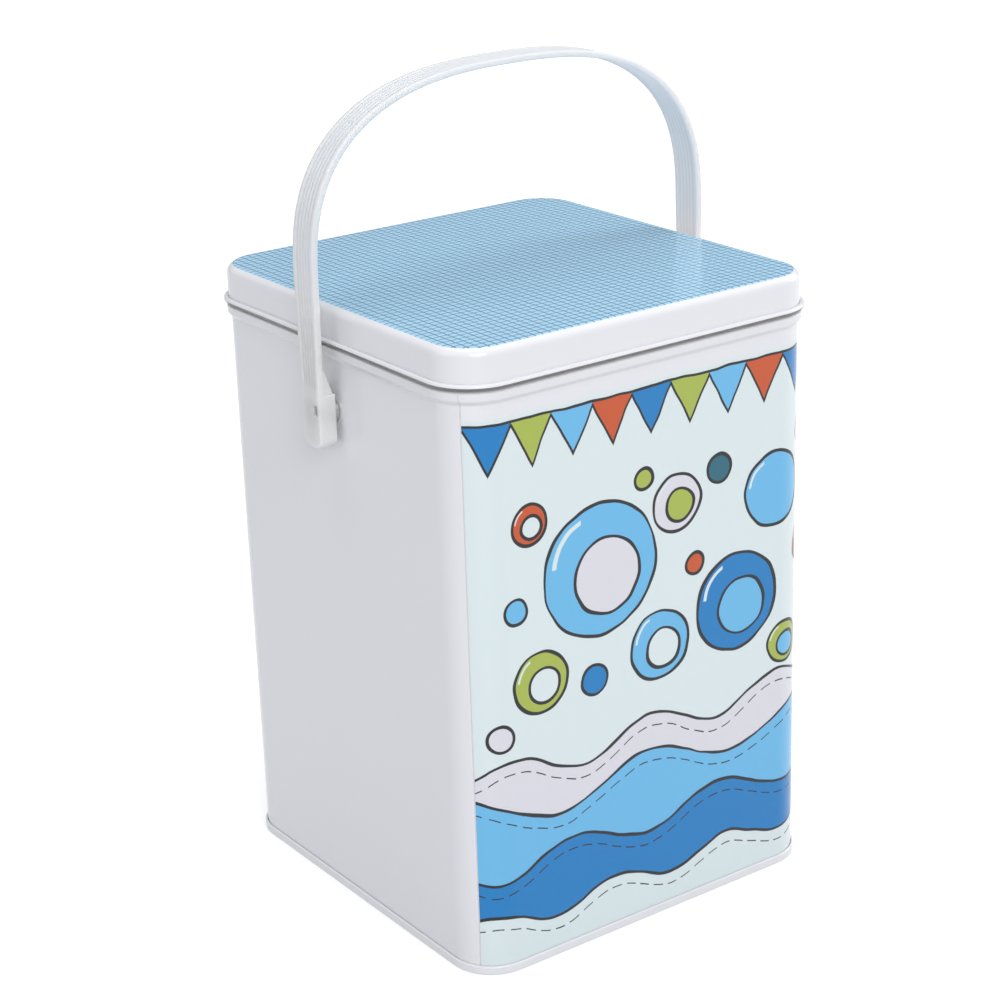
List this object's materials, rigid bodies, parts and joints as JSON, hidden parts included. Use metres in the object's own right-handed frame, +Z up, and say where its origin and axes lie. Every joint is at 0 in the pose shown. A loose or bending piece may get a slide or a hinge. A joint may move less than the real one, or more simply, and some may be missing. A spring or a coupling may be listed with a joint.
{
  "type": "laundry detergent tin",
  "caption": "Tall square tinplate box for laundry powder, with rounded corners, a slip lid and a moulded strap handle that swings on side studs.",
  "frame": {"origin": "centre of the footprint, on the surface that the tin stands on", "axes": "+Z up, -Y out of the printed front, X along the handle's pivots"},
  "size_m": [0.212, 0.2014, 0.378],
  "materials": {
    "white_lacquer": "glossy white lacquer on tinplate, printed on the front",
    "printed_lacquer": "glossy lacquer, sky blue with a fine darker grid, white at the edge",
    "natural_plastic": "undyed translucent moulded plastic, softly glossy",
    "plated_steel": "bright plated steel"
  },
  "bodies": {
    "tin": {"body_wall": "white_lacquer", "bottom_end": "white_lacquer", "stud_left": "plated_steel", "stud_right": "plated_steel", "stud_washer_left": "plated_steel", "stud_washer_right": "plated_steel"},
    "lid": {"lid": "printed_lacquer"},
    "handle": {"handle": "natural_plastic"}
  },
  "joints": [
    {"name": "lid_lift", "type": "slide", "parent": "tin", "child": "lid", "axis": [0, 0, 1], "range_m": [0, 0.03]},
    {"name": "handle_swing", "type": "hinge", "parent": "tin", "child": "handle", "pos_m": [0, 0, 0.238], "axis": [1, 0, 0], "range_deg": [-114, 114]}
  ]
}
